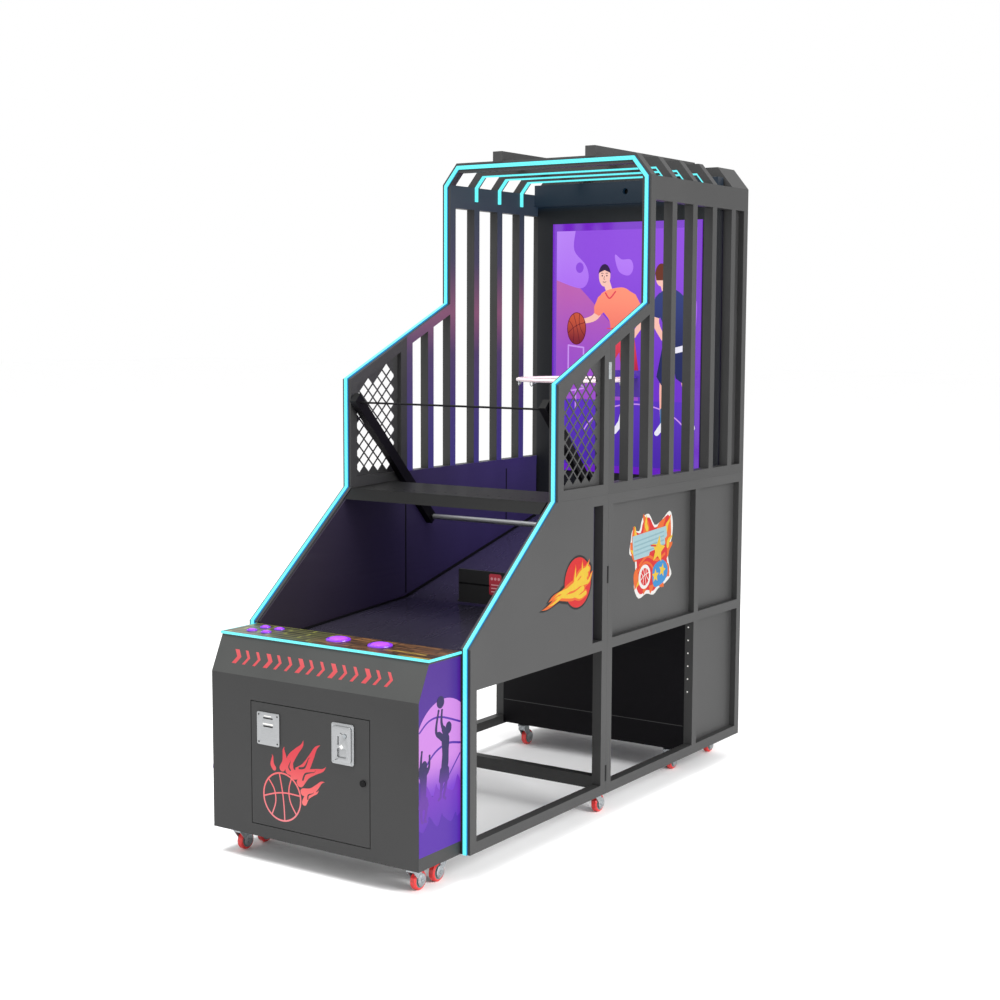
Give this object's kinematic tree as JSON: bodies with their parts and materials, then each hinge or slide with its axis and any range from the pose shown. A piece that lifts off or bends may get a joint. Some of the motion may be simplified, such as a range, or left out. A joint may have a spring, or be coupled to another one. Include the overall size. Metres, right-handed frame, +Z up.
{
  "type": "basketball hoop machine",
  "caption": "Coin-operated basketball arcade machine: caged hoop over a sloping ball ramp, lit arch, display and control cabinet, on swivel casters.",
  "frame": {"origin": "on the floor under the middle of the machine", "axes": "+Z up, +X to the player's right, +Y from the player to the back"},
  "size_m": [1.02, 2.4, 2.67],
  "materials": {
    "powder_coat": "matt fine texture",
    "lane_board": "satin",
    "brushed_steel": "brushed",
    "zinc_plate": "bright zinc",
    "button_plastic": "gloss, translucent",
    "light_strip": "lit diffuser",
    "display": "gloss",
    "tyre": "satin",
    "rim_paint": "gloss",
    "deck_laminate": "high gloss"
  },
  "bodies": {
    "machine": {"cabinet_shell": "powder_coat", "cash_box": "zinc_plate", "control_deck": "deck_laminate", "front_cross_tube": "powder_coat", "seam_cross_tube": "powder_coat", "shelf_beam": "powder_coat", "ramp_front": "lane_board", "ramp_rear": "lane_board", "net_frame": "powder_coat", "hoop": "rim_paint", "display_wall": "powder_coat", "display_screen": "display", "back_panel": "powder_coat", "partition": "powder_coat", "roof_frame": "powder_coat", "neon_arch": "light_strip", "front_frame_left": "powder_coat", "front_frame_right": "powder_coat", "wing_frame_left": "powder_coat", "wing_frame_right": "powder_coat", "wing_mesh_left": "powder_coat", "wing_mesh_right": "powder_coat", "rear_frame_left": "powder_coat", "rear_frame_right": "powder_coat", "cage_side_left": "powder_coat", "cage_side_right": "powder_coat", "lane_wall_left": "lane_board", "lane_wall_right": "lane_board"},
    "coin_door": {"coin_door": "powder_coat", "coin_plate": "brushed_steel", "coin_acceptor": "brushed_steel"},
    "door_lock": {"door_lock": "zinc_plate"},
    "coin_return_button": {"coin_return_button": "zinc_plate"},
    "ball_gate": {"ball_gate": "powder_coat"},
    "start_button_left": {"start_button_left": "button_plastic"},
    "start_button_right": {"start_button_right": "button_plastic"},
    "select_button_1": {"select_button_1": "button_plastic"},
    "select_button_2": {"select_button_2": "button_plastic"},
    "select_button_3": {"select_button_3": "button_plastic"},
    "select_button_4": {"select_button_4": "button_plastic"},
    "caster_fork_cabinet_left": {"caster_fork_cabinet_left": "zinc_plate"},
    "caster_wheel_cabinet_left": {"caster_wheel_cabinet_left": "tyre"},
    "caster_fork_cabinet_right": {"caster_fork_cabinet_right": "zinc_plate"},
    "caster_wheel_cabinet_right": {"caster_wheel_cabinet_right": "tyre"},
    "caster_fork_front_left": {"caster_fork_front_left": "zinc_plate"},
    "caster_wheel_front_left": {"caster_wheel_front_left": "tyre"},
    "caster_fork_front_right": {"caster_fork_front_right": "zinc_plate"},
    "caster_wheel_front_right": {"caster_wheel_front_right": "tyre"},
    "caster_fork_seam_left": {"caster_fork_seam_left": "zinc_plate"},
    "caster_wheel_seam_left": {"caster_wheel_seam_left": "tyre"},
    "caster_fork_seam_right": {"caster_fork_seam_right": "zinc_plate"},
    "caster_wheel_seam_right": {"caster_wheel_seam_right": "tyre"},
    "caster_fork_mid_left": {"caster_fork_mid_left": "zinc_plate"},
    "caster_wheel_mid_left": {"caster_wheel_mid_left": "tyre"},
    "caster_fork_mid_right": {"caster_fork_mid_right": "zinc_plate"},
    "caster_wheel_mid_right": {"caster_wheel_mid_right": "tyre"},
    "caster_fork_rear_left": {"caster_fork_rear_left": "zinc_plate"},
    "caster_wheel_rear_left": {"caster_wheel_rear_left": "tyre"},
    "caster_fork_rear_right": {"caster_fork_rear_right": "zinc_plate"},
    "caster_wheel_rear_right": {"caster_wheel_rear_right": "tyre"}
  },
  "joints": [
    {"name": "door_hinge", "type": "hinge", "parent": "machine", "child": "coin_door", "pos_m": [-0.28, -1.188, 0.145], "axis": [0, 0, -1], "range_deg": [0, 110]},
    {"name": "lock_turn", "type": "hinge", "parent": "coin_door", "child": "door_lock", "pos_m": [0.233, -1.188, 0.37], "axis": [0, 1, 0], "range_deg": [0, 90]},
    {"name": "coin_return_press", "type": "slide", "parent": "coin_door", "child": "coin_return_button", "axis": [0, 1, 0], "range_m": [0, 0.003], "stiffness_N_per_m": 200, "springref_m": -0.002},
    {"name": "gate_fold", "type": "hinge", "parent": "machine", "child": "ball_gate", "pos_m": [0, -0.026, 0.812], "axis": [-1, 0, 0], "range_deg": [0, 70]},
    {"name": "start_press_left", "type": "slide", "parent": "machine", "child": "start_button_left", "axis": [0, 0, -1], "range_m": [0, 0.004], "stiffness_N_per_m": 800, "springref_m": -0.005},
    {"name": "start_press_right", "type": "slide", "parent": "machine", "child": "start_button_right", "axis": [0, 0, -1], "range_m": [0, 0.004], "stiffness_N_per_m": 800, "springref_m": -0.005},
    {"name": "select_press_1", "type": "slide", "parent": "machine", "child": "select_button_1", "axis": [0, 0, -1], "range_m": [0, 0.003], "stiffness_N_per_m": 300, "springref_m": -0.003},
    {"name": "select_press_2", "type": "slide", "parent": "machine", "child": "select_button_2", "axis": [0, 0, -1], "range_m": [0, 0.003], "stiffness_N_per_m": 300, "springref_m": -0.003},
    {"name": "select_press_3", "type": "slide", "parent": "machine", "child": "select_button_3", "axis": [0, 0, -1], "range_m": [0, 0.003], "stiffness_N_per_m": 300, "springref_m": -0.003},
    {"name": "select_press_4", "type": "slide", "parent": "machine", "child": "select_button_4", "axis": [0, 0, -1], "range_m": [0, 0.003], "stiffness_N_per_m": 300, "springref_m": -0.003},
    {"name": "swivel_cabinet_left", "type": "hinge", "parent": "machine", "child": "caster_fork_cabinet_left", "pos_m": [-0.4, -1.126, 0.098], "axis": [0, 0, 1], "continuous": true},
    {"name": "roll_cabinet_left", "type": "hinge", "parent": "caster_fork_cabinet_left", "child": "caster_wheel_cabinet_left", "pos_m": [-0.4, -1.096, 0.035], "axis": [1, 0, 0], "continuous": true},
    {"name": "swivel_cabinet_right", "type": "hinge", "parent": "machine", "child": "caster_fork_cabinet_right", "pos_m": [0.4, -1.126, 0.098], "axis": [0, 0, 1], "continuous": true},
    {"name": "roll_cabinet_right", "type": "hinge", "parent": "caster_fork_cabinet_right", "child": "caster_wheel_cabinet_right", "pos_m": [0.4, -1.096, 0.035], "axis": [1, 0, 0], "continuous": true},
    {"name": "swivel_front_left", "type": "hinge", "parent": "machine", "child": "caster_fork_front_left", "pos_m": [-0.4, -0.958, 0.098], "axis": [0, 0, 1], "continuous": true},
    {"name": "roll_front_left", "type": "hinge", "parent": "caster_fork_front_left", "child": "caster_wheel_front_left", "pos_m": [-0.4, -0.988, 0.035], "axis": [1, 0, 0], "continuous": true},
    {"name": "swivel_front_right", "type": "hinge", "parent": "machine", "child": "caster_fork_front_right", "pos_m": [0.4, -0.958, 0.098], "axis": [0, 0, 1], "continuous": true},
    {"name": "roll_front_right", "type": "hinge", "parent": "caster_fork_front_right", "child": "caster_wheel_front_right", "pos_m": [0.4, -0.988, 0.035], "axis": [1, 0, 0], "continuous": true},
    {"name": "swivel_seam_left", "type": "hinge", "parent": "machine", "child": "caster_fork_seam_left", "pos_m": [-0.44, 0.03, 0.098], "axis": [0, 0, 1], "continuous": true},
    {"name": "roll_seam_left", "type": "hinge", "parent": "caster_fork_seam_left", "child": "caster_wheel_seam_left", "pos_m": [-0.44, 0.06, 0.035], "axis": [1, 0, 0], "continuous": true},
    {"name": "swivel_seam_right", "type": "hinge", "parent": "machine", "child": "caster_fork_seam_right", "pos_m": [0.44, 0.03, 0.098], "axis": [0, 0, 1], "continuous": true},
    {"name": "roll_seam_right", "type": "hinge", "parent": "caster_fork_seam_right", "child": "caster_wheel_seam_right", "pos_m": [0.44, 0.06, 0.035], "axis": [1, 0, 0], "continuous": true},
    {"name": "swivel_mid_left", "type": "hinge", "parent": "machine", "child": "caster_fork_mid_left", "pos_m": [-0.38, 0.775, 0.098], "axis": [0, 0, 1], "continuous": true},
    {"name": "roll_mid_left", "type": "hinge", "parent": "caster_fork_mid_left", "child": "caster_wheel_mid_left", "pos_m": [-0.38, 0.805, 0.035], "axis": [1, 0, 0], "continuous": true},
    {"name": "swivel_mid_right", "type": "hinge", "parent": "machine", "child": "caster_fork_mid_right", "pos_m": [0.38, 0.775, 0.098], "axis": [0, 0, 1], "continuous": true},
    {"name": "roll_mid_right", "type": "hinge", "parent": "caster_fork_mid_right", "child": "caster_wheel_mid_right", "pos_m": [0.38, 0.805, 0.035], "axis": [1, 0, 0], "continuous": true},
    {"name": "swivel_rear_left", "type": "hinge", "parent": "machine", "child": "caster_fork_rear_left", "pos_m": [-0.38, 1.13, 0.098], "axis": [0, 0, 1], "continuous": true},
    {"name": "roll_rear_left", "type": "hinge", "parent": "caster_fork_rear_left", "child": "caster_wheel_rear_left", "pos_m": [-0.38, 1.16, 0.035], "axis": [1, 0, 0], "continuous": true},
    {"name": "swivel_rear_right", "type": "hinge", "parent": "machine", "child": "caster_fork_rear_right", "pos_m": [0.38, 1.13, 0.098], "axis": [0, 0, 1], "continuous": true},
    {"name": "roll_rear_right", "type": "hinge", "parent": "caster_fork_rear_right", "child": "caster_wheel_rear_right", "pos_m": [0.38, 1.16, 0.035], "axis": [1, 0, 0], "continuous": true}
  ]
}
